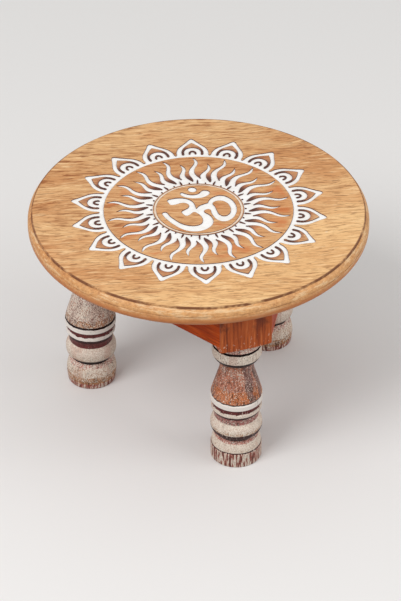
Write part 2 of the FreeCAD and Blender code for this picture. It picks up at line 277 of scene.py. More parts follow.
def waxed_carving(recipe, wood, across):
    """Brown wax left in the narrow places between the flames and inside the petals."""
    flames = recipe.hump(across, 33.5 * MM, 34.5 * MM, 38 * MM, 55 * MM, 0.9)
    wood = recipe.tint(wood, colour(192, 122, 72), across, 70.5 * MM, 69.5 * MM, 0.28)
    glow = recipe.fade(recipe.grain(recipe.place, (26, 60, 60)), 0.52, 0.66, 0.0, 0.6)
    glow = recipe.times(glow, recipe.fade(across, 66 * MM, 70 * MM, 1.0, 0.0))
    wood = recipe.mix(glow, wood, colour(206, 112, 56))
    wax = recipe.sums("MAXIMUM", flames, edge_stain(recipe))
    wood = recipe.tint(wood, colour(170, 106, 78), wax, 0.05, 0.5, 0.75)
    return recipe.tint(wood, colour(74, 42, 40), wax, 0.35, 0.85, 0.9)


def rubbed_and_shaded_rim(recipe, wood, across, height):
    """The rim, redder at its round, with painted shade that darkens the underside of its nose and lays a
    broken dark line in its step and another under its band.
    """
    place = recipe.place
    on_side = recipe.fade(across, 123.9 * MM, 124.3 * MM)
    rubbed = recipe.noise(place, 420.0, 3.0, 0.65)
    worn = recipe.grain(place, (60, 60, 420), 4.0, 0.7)
    band = recipe.tint(colour(192, 132, 82), colour(232, 170, 108), rubbed, 0.3, 0.7)
    band = recipe.tint(band, colour(246, 214, 170), worn, 0.52, 0.62, 0.7)
    band = recipe.tint(band, colour(166, 100, 58), worn, 0.44, 0.36, 0.6)
    wood = recipe.mix(recipe.times(on_side, 0.7), wood, band)
    # the nose below the band is orange, darker towards the bottom
    low = recipe.fade(height, TOP_BASE + 4.5 * MM, TOP_BASE + 9.2 * MM, 1.0, 0.0)
    wood = recipe.mix(recipe.times(low, 0.8), wood, colour(196, 116, 62))
    # painted shade: the underside of the nose darker still
    underside_shade = recipe.fade(height, TOP_BASE, TOP_BASE + 4 * MM, 1.0, 0.0)
    wood = recipe.mix(recipe.times(underside_shade, 0.6), wood, colour(150, 78, 38))

    broken = recipe.noise(place, 55.0, 3.0, 0.65)
    # painted shade: a broken dark line in the step at the top's edge
    step = recipe.hump(across, 122.8 * MM, 123.7 * MM, 124.1 * MM, 124.6 * MM)
    step = recipe.times(step, recipe.fade(broken, 0.36, 0.52, 0.2, 0.9))
    # painted shade: a broken dark line in the groove under the band
    line = recipe.hump(height, TOP_BASE + 8.3 * MM, TOP_BASE + 8.8 * MM,
                       TOP_BASE + 8.9 * MM, TOP_BASE + 9.5 * MM)
    line = recipe.times(recipe.times(line, on_side), recipe.fade(broken, 0.44, 0.56, 0.0, 0.5))
    return recipe.mix(recipe.sums("MAXIMUM", step, line), wood, colour(116, 64, 36))


def stray_paint(recipe, wood, across):
    """A little white paint that missed the carving, round the petals."""
    stray = recipe.fade(recipe.grain(recipe.place, (170, 330, 300)), 0.70, 0.76, 0.0, 0.6)
    near = recipe.hump(across, 88 * MM, 94 * MM, 102 * MM, 110 * MM)
    return recipe.mix(recipe.times(stray, near), wood, colour(238, 222, 200))


def edge_stain(recipe):
    """How strongly the wax shows beside a cut, from the mark left on the mesh there."""
    mark = recipe.add("ShaderNodeAttribute", attribute_type="GEOMETRY", attribute_name="beside_cut")
    uneven = recipe.noise(recipe.place, 220.0, 3.0, 0.6)
    return recipe.times(mark.outputs["Fac"], recipe.fade(uneven, 0.25, 0.6, 0.6, 1.0))


def carved_paint():
    """White paint laid thinly in the carving, with the odd speck of wood showing."""
    recipe = Recipe("white_paint")
    cloud = recipe.noise(recipe.place, 160.0, 4.0, 0.6)
    specks = recipe.noise(recipe.place, 900.0, 3.0, 0.65)
    paint = recipe.tint(colour(253, 252, 250), colour(242, 238, 232), cloud, 0.4, 0.75)
    paint = recipe.tint(paint, colour(196, 164, 138), specks, 0.72, 0.80, 0.5)
    recipe.bump((specks, 0.03 * MM), (cloud, 0.06 * MM))
    return recipe.done(paint, 0.62, 0.3)


def thin_paint():
    """The thin circle round the sign, where the paint is so thin that the wood warms it."""
    recipe = Recipe("thin_paint")
    cloud = recipe.noise(recipe.place, 260.0, 4.0, 0.6)
    paint = recipe.tint(colour(250, 236, 218), colour(236, 208, 180), cloud, 0.3, 0.7)
    recipe.bump((cloud, 0.05 * MM))
    return recipe.done(paint, 0.62, 0.3)


def cut_wall():
    """The steep sides of the carving, coloured dark brown."""
    recipe = Recipe("dark_cut_wall")
    cloud = recipe.noise(recipe.place, 300.0, 3.0, 0.6)
    wood = recipe.tint(colour(72, 42, 38), colour(112, 70, 54), cloud, 0.3, 0.7)
    return recipe.done(wood, 0.7, 0.2)


# The wood and dirt that show through the whitewash, and the near-black painted shade in the grooves and under
# the bead and the collar
UMBER, SAND, ROSE = colour(170, 94, 80), colour(198, 142, 108), colour(200, 132, 118)
MAUVE, TAN, MAROON = colour(174, 106, 100), colour(188, 132, 92), colour(112, 50, 50)
# the near-black is painted shade in the grooves and under the bead and the collar; the dark is dark wood, and
# under the front leg's bead it is also painted shade
DARK, SHADE_BLACK = colour(60, 24, 26), colour(30, 13, 14)
RUSSET, BROWN, GREY = colour(204, 124, 80), colour(188, 118, 92), colour(146, 118, 110)

# Each stretch of a leg: where it starts in millimetres, how white it is, how streaky, and what is under it
FRONT_WASH = [
    (0.0, 0.46, 1.0, UMBER), (11.7, 0.22, 0.6, DARK), (12.8, 0.86, 0.0, SAND), (19.6, 0.30, 0.0, ROSE),
    (21.9, 0.02, 0.2, SHADE_BLACK), (25.2, 0.20, 0.5, DARK), (29.0, 0.55, 0.0, TAN), (31.8, 0.94, 0.0, ROSE),
    (37.8, 0.26, 0.0, MAUVE), (43.4, 0.08, 0.5, DARK), (46.0, 0.97, 0.0, ROSE),
    (48.8, 0.14, 0.6, MAROON), (53.2, 1.0, 0.0, ROSE), (57.2, 0.0, 0.0, SHADE_BLACK),
    (58.7, 0.24, 0.1, RUSSET), (68.0, 0.27, 0.1, BROWN), (89.0, 0.0, 0.0, SHADE_BLACK),
    (95.1, 0.74, 0.1, GREY), (103.0, 0.02, 0.0, SHADE_BLACK), (104.8, 0.45, 0.2, ROSE),
]
SIDE_WASH = [
    (0.0, 0.40, 0.7, UMBER), (4.6, 0.28, 0.3, TAN), (6.2, 0.40, 0.0, TAN), (10.5, 0.66, 0.0, TAN),
    (18.0, 0.50, 0.0, ROSE), (21.4, 0.0, 0.0, SHADE_BLACK), (26.4, 0.74, 0.0, SAND), (30.5, 0.96, 0.0, ROSE),
    (37.6, 0.10, 0.3, MAROON), (42.6, 0.06, 0.3, DARK), (45.9, 1.0, 0.0, ROSE),
    (48.8, 0.10, 0.5, MAROON), (52.9, 1.0, 0.0, ROSE), (56.9, 0.0, 0.0, SHADE_BLACK), (58.5, 0.40, 0.0, TAN),
    (64.0, 0.60, 0.0, BROWN), (76.0, 0.62, 0.0, MAUVE), (89.0, 0.0, 0.0, SHADE_BLACK),
    (95.1, 0.90, 0.0, ROSE), (103.0, 0.02, 0.0, SHADE_BLACK), (104.8, 0.60, 0.2, ROSE),
]


def whitewashed_leg(name, stretches):
    """Brown turned wood under whitewash that is sanded thin, more or less in each turned member, with painted
    shade in its grooves and under its bead and collar.
    """
    recipe = Recipe(name)
    place = recipe.place
    total = BLOCK_BASE / MM
    height = recipe.times(recipe.split(place)[2], 1 / BLOCK_BASE)
    wobble = recipe.sums("SUBTRACT", recipe.noise(place, 190.0, 4.0, 0.65), 0.5)
    height = recipe.sums("ADD", height, recipe.times(wobble, 0.009))
    coverage = recipe.bands(height, [(start / total, (white,) * 3) for start, white, _, _ in stretches])
    streaky = recipe.bands(height, [(start / total, (share,) * 3) for start, _, share, _ in stretches])
    base = recipe.bands(height, [(start / total, under) for start, _, _, under in stretches])

    streaks = recipe.grain(place, (720, 720, 95))
    wide = recipe.grain(place, (120, 120, 14), 3.0, 0.55, 0.4)
    warm = recipe.grain(place, (90, 90, 30), shift=(3, 1, 2))
    grit = recipe.grain(place, (800, 800, 800), 3.0, 0.65, shift=(5, 7, 3))
    specks = recipe.noise(place, 1200.0, 3.0, 0.65)
    smudges = recipe.noise(place, 150.0, 4.0, 0.65)
    speckled = recipe.sums("ADD", recipe.times(specks, 0.74), recipe.times(smudges, 0.26))
    wear = recipe.sums("ADD", recipe.times(streaks, streaky),
                       recipe.times(speckled, recipe.sums("SUBTRACT", 1.0, streaky)))
    # the whiter a stretch is, the less wear its paint needs to show
    threshold = recipe.sums("MULTIPLY_ADD", coverage, -0.34, 0.66)
    painted = recipe.fade(recipe.sums("SUBTRACT", wear, threshold), -0.05, 0.05)

    # orange and mauve streaks run down the vase, and dark ones down the whole leg
    on_vase = recipe.hump(height, 57.5 / total, 59.5 / total, 88.0 / total, 89.5 / total)
    orange = recipe.times(recipe.fade(warm, 0.50, 0.62, 0.0, 0.6), on_vase)
    mauve = recipe.times(recipe.fade(wide, 0.48, 0.60, 0.0, 0.75), on_vase)
    base = recipe.mix(orange, base, colour(178, 98, 52))
    base = recipe.mix(mauve, base, colour(112, 88, 88))
    base = recipe.tint(base, colour(58, 38, 32), streaks, 0.48, 0.36, 0.75)
    base = recipe.tint(base, colour(50, 30, 28), grit, 0.50, 0.60, 0.5)
    paint = recipe.tint(colour(204, 182, 165), colour(243, 233, 218), specks, 0.35, 0.62)
    paint = recipe.tint(paint, colour(206, 168, 150), wide, 0.50, 0.64, 0.45)
    paint = recipe.tint(paint, colour(252, 248, 242), coverage, 0.96, 1.0, 0.8)
    mixed = recipe.mix(recipe.times(painted, 0.92), base, paint)
    mixed = recipe.tint(mixed, colour(96, 78, 72), smudges, 0.60, 0.74, 0.5)
    recipe.bump((painted, 0.06 * MM), (streaks, 0.06 * MM))
    return recipe.done(mixed, recipe.fade(painted, 0.0, 1.0, 0.5, 0.7), 0.25)


def stained_block():
    """The square blocks: orange-brown stain on upright grain, dark at the top, paint specks low down."""
    recipe = Recipe("stained_block")
    place = recipe.place
    height = recipe.split(place)[2]
    figure = recipe.grain(place, (110, 110, 12), 3.0, 0.55, 0.3)
    lines = recipe.grain(place, (640, 640, 36), 4.0, 0.6)
    wood = recipe.tint(colour(146, 58, 18), colour(196, 96, 42), figure, 0.34, 0.66)
    wood = recipe.tint(wood, colour(98, 36, 14), lines, 0.50, 0.66, 0.75)
    wood = recipe.tint(wood, colour(222, 128, 70), lines, 0.45, 0.30, 0.6)
    blotches = recipe.fade(recipe.noise(place, 90.0, 3.0, 0.6), 0.47, 0.60, 0.0, 0.75)
    upper = recipe.fade(height, TOP_BASE - 30 * MM, TOP_BASE - 10 * MM)
    wood = recipe.mix(recipe.times(upper, blotches), wood, colour(74, 30, 18))
    flecks = recipe.fade(recipe.grain(place, (420, 420, 280), 2.0, 0.6), 0.60, 0.68)
    low = recipe.fade(height, BLOCK_BASE + 2 * MM, BLOCK_BASE + 16 * MM, 0.8, 0.0)
    wood = recipe.mix(recipe.times(flecks, low), wood, colour(236, 200, 176))
    recipe.bump((lines, 0.15 * MM))
    return recipe.done(wood, 0.5, 0.25)


def stained_rail_with_painted_red_light(name, angle):
    """A rail: the same stain over grain that runs along the rail, made redder by painted reflected red light.
    """
    recipe = Recipe(name, QUARTER_TURN - angle)
    figure = recipe.grain(recipe.place, (14, 90, 90), 3.0, 0.55, 0.3)
    lines = recipe.grain(recipe.place, (34, 520, 520), 4.0, 0.6)
    # the stain's colours carry painted reflected red light, which makes them redder than the blocks
    wood = recipe.tint(colour(176, 60, 8), colour(222, 92, 18), figure, 0.34, 0.66)
    wood = recipe.tint(wood, colour(104, 32, 6), lines, 0.5, 0.68, 0.65)
    wood = recipe.tint(wood, colour(224, 114, 46), lines, 0.44, 0.30, 0.5)
    recipe.bump((lines, 0.15 * MM))
    return recipe.done(wood, 0.5, 0.12)


def zinc():
    """Zinc plating on the screws, brushed a little by the driver."""
    recipe = Recipe("zinc_screw")
    haze = recipe.noise(recipe.place, 900.0, 3.0, 0.6)
    recipe.finish.inputs["Metallic"].default_value = 1.0
    metal = recipe.mix(haze, (0.50, 0.49, 0.45), (0.70, 0.69, 0.64))
    recipe.bump((haze, 0.02 * MM))
    return recipe.done(metal, recipe.fade(haze, 0.3, 0.7, 0.28, 0.45))


# Shaping by hand tools

# How many flat steps a turned piece has round its axis
DISC_STEPS, LEG_STEPS, CLIP_STEPS = 240, 128, 160
MERGE_GAP = 0.002 * MM
# The height of a face's normal from which the face is flat, and up to which it is steep
FLAT, STEEP = 0.9999, 0.5


def pick_only(piece):
    bpy.ops.object.select_all(action="DESELECT")
    piece.select_set(True)
    bpy.context.view_layer.objects.active = piece


def edit(piece):
    pick_only(piece)
    bpy.ops.object.mode_set(mode="EDIT")
    bpy.ops.mesh.select_mode(type="VERT")
    bpy.ops.mesh.select_all(action="SELECT")


def stop_editing():
    bpy.ops.object.mode_set(mode="OBJECT")


def tidy_shell():
    """Merges the doubles and turns the faces outwards, in edit mode."""
    bpy.ops.mesh.select_all(action="SELECT")
    bpy.ops.mesh.remove_doubles(threshold=MERGE_GAP)
    bpy.ops.mesh.normals_make_consistent(inside=False)


def arc_between(start, end, swell, count):
    """Points after start up to end, on an arc that swells to the right of the way between them."""
    chord = Vector(end) - Vector(start)
    if not swell:
        return [tuple(end)]
    depth = abs(swell)
    radius = chord.length ** 2 / (8 * depth) + depth / 2
    left = Vector((-chord.y, chord.x)).normalized()
    side = 1 if swell > 0 else -1
    centre = (Vector(start) + Vector(end)) / 2 + left * (side * (radius - depth))
    first = Vector(start) - centre
    sweep = side * 2 * math.asin(min(1.0, chord.length / (2 * radius)))
    points = []
    for index in range(1, count + 1):
        turn = sweep * index / count
        points.append((
            centre.x + first.x * math.cos(turn) - first.y * math.sin(turn),
            centre.y + first.x * math.sin(turn) + first.y * math.cos(turn)))
    return points


def turn_on_lathe(name, corners, steps, arc_count=8):
    """Spins an outline of radius, height and swell, in millimetres, into a closed solid about Z."""
    outline = [corners[0][:2]]
    for (r, z, swell), (next_r, next_z, _) in zip(corners, corners[1:]):
        outline += arc_between((r, z), (next_r, next_z), swell, arc_count)
    bpy.ops.object.select_all(action="DESELECT")
    bpy.ops.mesh.primitive_plane_add(size=MM)
    piece = bpy.context.active_object
    piece.name = name
    edit(piece)
    bpy.ops.mesh.merge(type="CENTER")
    bpy.ops.transform.translate(value=(outline[0][0] * MM, 0, outline[0][1] * MM))
    for (r, z), (next_r, next_z) in zip(outline, outline[1:]):
        step = ((next_r - r) * MM, 0, (next_z - z) * MM)
        bpy.ops.mesh.extrude_region_move(TRANSFORM_OT_translate={"value": step})
    bpy.ops.mesh.select_all(action="SELECT")
    bpy.ops.mesh.spin(steps=steps, angle=FULL_TURN, center=(0, 0, 0), axis=(0, 0, 1))
    tidy_shell()
    stop_editing()
    return piece


# A drawing's loops of few points have longer curves between them, so those get more steps
FEW_POINTS, FINE_STEPS, COARSE_STEPS = 12, 8, 5


def drawn_plate(name, loops, top, depth):
    """Cuts a flat plate to a drawing of smooth closed loops, the inner ones being holes."""
    drawing = bpy.data.curves.new(name, "CURVE")
    drawing.dimensions = "2D"
    drawing.fill_mode = "BOTH"
    drawing.extrude = depth / 2 * MM
    for points in loops:
        spline = drawing.splines.new("BEZIER")
        spline.bezier_points.add(len(points) - 1)
        spline.use_cyclic_u = True
        spline.resolution_u = FINE_STEPS if len(points) <= FEW_POINTS else COARSE_STEPS
        for knot, (x, y, sharp) in zip(spline.bezier_points, points):
            knot.co = (x * MM, y * MM, 0)
            kind = "VECTOR" if sharp else "AUTO"
            knot.handle_left_type = kind
            knot.handle_right_type = kind
    plate = bpy.data.objects.new(name, drawing)
    bpy.context.scene.collection.objects.link(plate)
    pick_only(plate)
    bpy.ops.object.convert(target="MESH")
    plate = bpy.context.active_object
    edit(plate)
    bpy.ops.transform.translate(value=(0, 0, (top - depth / 2) * MM))
    bpy.ops.transform.rotate(value=-PATTERN_TURN, orient_axis="Z", center_override=(0, 0, 0))
    tidy_shell()
    stop_editing()
    return plate


def give(piece, *materials):
    piece.data.materials.clear()
    for material in materials:
        piece.data.materials.append(material)


def combine(piece, tool, operation):
    """Cuts, joins or keeps the common part of two solids, and takes the tool away."""
    pick_only(piece)
    bpy.ops.object.modifier_add(type="BOOLEAN")
    step = piece.modifiers[-1]
    step.operation = operation
    step.solver = "EXACT"
    step.object = tool
    step.material_mode = "TRANSFER"
    bpy.ops.object.modifier_apply(modifier=step.name)
    bpy.data.objects.remove(tool, do_unlink=True)


# The carving's drawing, in millimetres from its middle, upright as it is read

PETALS = 18
PETAL_STEP = 360.0 / PETALS
SMOOTH, SHARP = False, True


def knots(*points):
    """The points of a loop. They are smooth, apart from those that a third word makes sharp."""
    return [point if len(point) == 3 else (*point, SMOOTH) for point in points]


def about(angle, radius, sharp=SMOOTH):
    """A point at an angle in degrees clockwise from upright."""
    turn = math.radians(angle)
    return radius * math.sin(turn), radius * math.cos(turn), sharp


def spun(points, angle):
    """Points turned clockwise about the middle by an angle in degrees."""
    turn = math.radians(angle)
    cosine, sine = math.cos(turn), math.sin(turn)
    return [(x * cosine + y * sine, -x * sine + y * cosine, sharp) for x, y, sharp in points]


def mirrored(half):
    """A closed loop from its left half, which starts or ends on the middle line."""
    return half + [(-x, y, sharp) for x, y, sharp in reversed(half) if x]


def true_circle(radius, count=72):
    return [about(360.0 * index / count, radius) for index in range(count)]


PETAL_OUTLINE = knots(
    (-12.1, 73.9), (-12.2, 76.5), (-11.6, 80.0), (-10.1, 83.5), (-7.4, 87.0), (-4.0, 91.2),
    (-1.2, 94.9), (0.0, 95.5),
)
ARCH_OUTLINE = knots(
    (-6.6, 73.8), (-7.5, 73.5), (-8.3, 76.0), (-7.8, 80.0), (-5.8, 84.0), (-3.0, 87.2),
    (0.0, 90.0, SHARP),
)
ARCH_INSIDE = knots(
    (0.0, 83.4), (-3.0, 82.7), (-5.5, 80.5), (-6.5, 77.0),
)
BUTTON_HALF = knots(
    (0.0, 77.6), (-1.2, 76.9), (-1.6, 75.2), (-2.1, 74.3), (-2.9, 74.9), (-2.6, 77.2), (-1.4, 78.7),
    (0.0, 79.2),
)
RING_INNER, RING_OUTER = 70.5, 73.6
# No part of the carving reaches this far out
PATTERN_RADIUS = 100.0
# How wide and how strong the wax is along the edge of a cut
WAX_WIDTH, BESIDE_WAX = 0.35, 0.85


def arch_loop():
    """The band of wood left inside a petal, between its outline and the half disc."""
    return mirrored(ARCH_INSIDE + ARCH_OUTLINE)


def lotus_loops():
    """The ring of petals as one outline, with the ring's inside and the wood left in each petal as holes."""
    outline, holes = [], [true_circle(RING_INNER)]
    for index in range(PETALS):
        angle = PETAL_STEP * index
        outline.append(about(angle - PETAL_STEP / 2, RING_OUTER))
        outline += spun(mirrored(PETAL_OUTLINE), angle)
        holes.append(spun(arch_loop(), angle))
        holes.append(spun(mirrored(BUTTON_HALF), angle))
    return [outline] + holes


# One long and one short flame, as angle and radius: up the long one's left side, then round to the right
FLAME_PERIOD = knots(
    (-3.1, 37.3), (-2.5, 39.4), (-3.9, 43.0), (-5.2, 47.0), (-4.6, 51.6), (-2.9, 55.2), (-0.5, 59.4),
    (0.5, 63.0), (0.2, 66.2), (-0.1, 69.3, SHARP), (1.5, 66.8), (2.8, 63.0), (2.4, 59.0), (0.7, 55.0),
    (-0.2, 51.0), (0.4, 47.3), (2.4, 44.1), (4.5, 42.0), (5.5, 41.2), (5.0, 43.6), (5.8, 47.0),
    (8.2, 50.6), (10.0, 53.8), (10.4, 57.0), (9.8, 61.4, SHARP), (11.8, 58.4), (13.0, 54.9),
    (12.4, 51.0), (10.9, 47.4), (11.0, 43.6), (13.4, 40.0), (15.6, 38.2),
)
FLAME_BASE = 33.9
THIN_CIRCLE = (31.5, 33.2)


def slit(angle, inner, outer):
    """A narrow drop of wood left standing between two flames at their foot."""
    half_width = 0.55
    middle = (inner + outer) / 2
    half_angle = math.degrees(half_width / middle)
    return [
        about(angle, inner), about(angle - half_angle, middle),
        about(angle, outer, SHARP), about(angle + half_angle, middle),
    ]


def flame_loops():
    """All the flames as one outline, with the slits at their feet as holes."""
    outline, holes = [], [true_circle(FLAME_BASE, 48)]
    for index in range(PETALS):
        angle = PETAL_STEP * index
        outline += [about(angle + turn, radius, sharp) for turn, radius, sharp in FLAME_PERIOD]
        holes.append(slit(angle + 2.2, 34.5, 39.6))
        holes.append(slit(angle - 8.0, 34.4, 35.9))
    return [outline] + holes


# The sign, traced with few points: the three-shaped body with its tail and loop in one outline
SIGN_BODY = knots(
    (-1.6, 0.8, SHARP), (-2.1, 3.6), (-3.0, 8.2), (-5.2, 12.0), (-9.0, 14.6), (-13.5, 15.5),
    (-18.5, 14.8), (-22.6, 12.7), (-21.9, 9.8), (-20.4, 6.8), (-17.2, 6.7), (-13.0, 8.5), (-9.4, 8.5),
    (-7.0, 6.0), (-7.3, 2.7), (-9.8, 0.1), (-12.7, -2.6), (-11.8, -5.8), (-9.4, -8.3), (-6.9, -7.2),
    (-5.0, -4.8), (-3.5, -3.7), (-1.0, -5.7), (1.3, -9.3), (2.3, -14.0), (1.2, -18.8), (-2.8, -21.2),
    (-8.6, -20.8), (-14.0, -17.6), (-18.4, -12.5), (-22.0, -7.2), (-24.4, -2.8), (-26.9, -3.4),
    (-26.4, -7.6), (-23.2, -13.7), (-18.6, -20.2), (-12.8, -26.0), (-6.0, -28.8), (1.0, -28.2),
    (7.0, -24.0), (9.9, -18.2), (9.6, -12.6), (7.4, -7.6), (4.4, -4.4), (4.0, -2.8), (6.2, -0.7),
    (8.4, -0.9), (9.2, -5.0), (10.8, -10.6), (13.6, -15.2), (18.4, -17.2), (23.4, -14.6), (27.0, -8.6),
    (28.4, -1.0), (27.4, 6.6), (23.6, 13.6), (18.0, 17.2), (12.4, 15.6), (8.8, 11.6), (7.4, 7.9, SHARP),
    (4.4, 6.5), (1.0, 4.4),
)
SIGN_EYE = knots(
    (10.9, 6.6), (12.8, 9.3), (17.0, 10.2), (20.9, 7.9), (23.3, 3.2), (23.8, -2.6), (22.2, -7.8),
    (18.6, -10.0), (15.2, -7.8), (13.4, -2.0), (12.2, 3.4),
)
SIGN_MOON = knots(
    (-12.6, 21.2), (-11.3, 22.6), (-9.2, 21.4), (-5.6, 19.6), (-1.2, 19.4), (2.0, 21.3), (4.0, 24.2),
    (6.8, 24.7), (9.6, 22.6), (9.2, 19.4), (5.6, 15.9), (0.0, 14.3), (-6.0, 15.0), (-10.8, 17.6),
)
SIGN_DOT = knots((-6.5, 26.1), (-3.5, 29.2), (0.1, 26.0), (-2.6, 22.6))


def cut_in(disc, name, loops, depth, paint, wall):
    """Sinks one drawing into the disc: painted floor, dark brown sides."""
    above = 1.0
    plate = drawn_plate(name, loops, TOP_HEIGHT / MM + above, depth + above)
    give(plate, wall, paint)
    for face in plate.data.polygons:
        face.material_index = 1 if face.normal.z < -STEEP else 0
    combine(disc, plate, "DIFFERENCE")


def inside_petal(x, y):
    """Whether a point of the top is on the wood left inside a petal, or just beside it."""
    turn = math.degrees(math.atan2(x, y))
    nearest = round(turn / PETAL_STEP) * PETAL_STEP
    across, up, _ = spun([(x, y, SMOOTH)], -nearest)[0]
    edges = [(abs(half_width), level) for half_width, level, _ in ARCH_OUTLINE]
    margin, tip_margin = 0.6, 0.5
    if not RING_INNER < up < edges[-1][1] + tip_margin:
        return False
    for (wide, low), (narrow, high) in zip(edges, edges[1:]):
        if low <= up <= high:
            share = (up - low) / (high - low)
            return abs(across) < wide + (narrow - wide) * share + margin
    return up < edges[1][1] and abs(across) < edges[1][0] + margin


def petal_wax(radius):
    """How strong the wax is inside a petal: full at its foot and thin at its tip."""
    thin, fades_to, fades_over = 0.3, 88.0, 9.0
    return min(1.0, max(thin, (fades_to - radius) / fades_over))


def on_top(height):
    return abs(height - TOP_HEIGHT) < 0.005 * MM


def wall_corners(disc):
    """The corners of the steep faces, without the slivers of the flat top."""
    corners = set()
    for face in disc.data.polygons:
        if abs(face.normal.z) < STEEP and face.center.z < TOP_HEIGHT - 0.05 * MM:
            corners.update(face.vertices)
    return corners


def settle_turned_over(disc):
    """Draws together the inner corners of the small top faces that the inset turned over."""
    fixed = wall_corners(disc)
    points = disc.data.vertices
    for face in disc.data.polygons:
        if face.normal.z < -STEEP and on_top(face.center.z):
            loose = [points[index] for index in face.vertices if index not in fixed]
            middle = sum((point.co for point in loose), Vector()) / max(1, len(loose))
            for point in loose:
                point.co = middle
    edit(disc)
    bpy.ops.mesh.remove_doubles(threshold=MERGE_GAP)
    stop_editing()


def mark_beside_cuts(disc, width):
    """Insets the flat top a little along every cut, and marks the mesh where the wax stays."""
    edit(disc)
    bpy.ops.mesh.remove_doubles(threshold=MERGE_GAP)
    bpy.ops.mesh.dissolve_degenerate(threshold=MERGE_GAP)
    bpy.ops.mesh.select_mode(type="FACE")
    bpy.ops.mesh.select_all(action="DESELECT")
    stop_editing()
    for face in disc.data.polygons:
        face.select = abs(face.normal.z) > FLAT and on_top(face.center.z)
    bpy.ops.object.mode_set(mode="EDIT")
    # long thin triangles would turn over when their corners move, so they are made compact first
    bpy.ops.mesh.quads_convert_to_tris(quad_method="BEAUTY", ngon_method="BEAUTY")
    bpy.ops.mesh.beautify_fill(angle_limit=math.radians(1))
    bpy.ops.mesh.inset(thickness=width * MM, depth=0, use_boundary=True, use_even_offset=False)
    stop_editing()
    # each round draws in the corners that the round before it left turned over
    for _ in range(4):
        settle_turned_over(disc)
    beside = wall_corners(disc)
    mark = disc.data.attributes.new("beside_cut", "FLOAT", "POINT")
    cosine, sine = math.cos(-PATTERN_TURN), math.sin(-PATTERN_TURN)
    for vertex in disc.data.vertices:
        x, y, _ = vertex.co / MM
        radius = math.hypot(x, y)
        amount = 0.0
        if on_top(vertex.co.z) and radius < PATTERN_RADIUS:
            amount = BESIDE_WAX if vertex.index in beside else 0.0
            if inside_petal(x * cosine - y * sine, x * sine + y * cosine):
                amount = max(amount, petal_wax(radius))
        mark.data[vertex.index].value = amount


def make_carved_top():
    """The disc with its rounded rim and small step, and the whole carving sunk in its top."""
    base = TOP_BASE / MM
    height = TOP_HEIGHT / MM
    disc = turn_on_lathe("carved_top", [
        (0, base, 0), (121.0, base, 1.757), (127.0, base + 6.0, 0), (127.0, base + 8.5, 0),
        (126.55, base + 8.8, 0), (126.8, base + 9.1, 0), (126.95, base + 9.4, 0.80),
        (124.0, height - 1.5, 0), (124.0, height - 0.25, 0.07), (123.75, height, 0), (0, height, 0),
    ], DISC_STEPS)
    give(disc, top_wood())
    paint, wall = carved_paint(), cut_wall()
    thin_loops = [true_circle(radius, 48) for radius in THIN_CIRCLE]
    # in another order the cuts leave stray faces
    cut_in(disc, "lotus_ring", lotus_loops(), 0.60, paint, wall)
    cut_in(disc, "thin_circle", thin_loops, 0.35, thin_paint(), wall)
    cut_in(disc, "sun_flames", flame_loops(), 0.58, paint, wall)
    cut_in(disc, "sacred_sign", [SIGN_BODY, SIGN_EYE, SIGN_MOON, SIGN_DOT], 0.62, paint, wall)
    mark_beside_cuts(disc, WAX_WIDTH)
    pick_only(disc)
    bpy.ops.object.shade_smooth_by_angle(angle=math.radians(30))
    for face in disc.data.polygons:
        if abs(face.normal.z) > FLAT:
            face.use_smooth = False
    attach(disc, "root")
    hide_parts("tabletop")


# The turned leg, as radius, height and swell in millimetres, from the middle of its foot upwards
FRONT_FOOT = [
    (0, 0, 0), (18.3, 0, 0.26), (19.2, 0.9, 0), (19.2, 10.5, 0.15), (18.9, 12.2, 0), (18.7, 12.35, 0.9),
]
SIDE_FOOT = [
    (0, 0, 0), (17.5, 0, 0.3), (18.4, 1.0, 0), (18.8, 4.8, 0.1), (18.6, 5.4, 0), (18.8, 5.7, 1.75),
]
LEG_SHAFT = [
    (15.3, 21.8, 0), (14.8, 22.3, 0), (15.1, 22.9, 1.15), (19.4, 29.4, 0.95), (16.8, 37.0, -0.45),
    (17.5, 42.5, -0.1), (18.3, 45.6, 0), (18.7, 46.0, 0), (19.0, 46.3, 0), (19.0, 48.5, 0),
    (18.7, 48.8, 0), (17.9, 48.9, 0), (17.9, 53.1, 0), (19.3, 53.2, 0), (19.6, 53.5, 0),
    (19.6, 56.9, 0), (19.3, 57.2, 0), (18.4, 57.7, 0), (18.4, 58.1, 0), (18.9, 58.6, 0),
    (19.1, 59.0, 0.1), (13.2, 79.3, -0.05), (12.7, 81.5, 0), (12.7, 89.0, 0), (12.9, 89.3, 0.9),
    (18.1, 94.9, 0.1), (18.4, 95.6, 0.12), (18.3, 102.8, 0), (18.0, 103.1, 0), (16.6, 103.4, 0),
    (16.6, 104.4, 0), (18.0, 104.7, 0), (18.2, 105.0, 0), (18.2, 110.8, 0), (17.0, 111.4, 0),
    (0, 111.4, 0),
]
BLOCK_HALF = 20.0
RAIL_MIDDLE = 59.07
TENON_THICKNESS, TENON_LENGTH, TENON_SHOULDER, SLACK = 7.0, 11.0, 6.5, 0.2
# Each rail meets its leg at this angle
RAIL_TURN = math.radians(60)


def use_stain(piece):
    """Gives a piece's faces the second of the leg's two materials."""
    for face in piece.data.polygons:
        face.material_index = 1


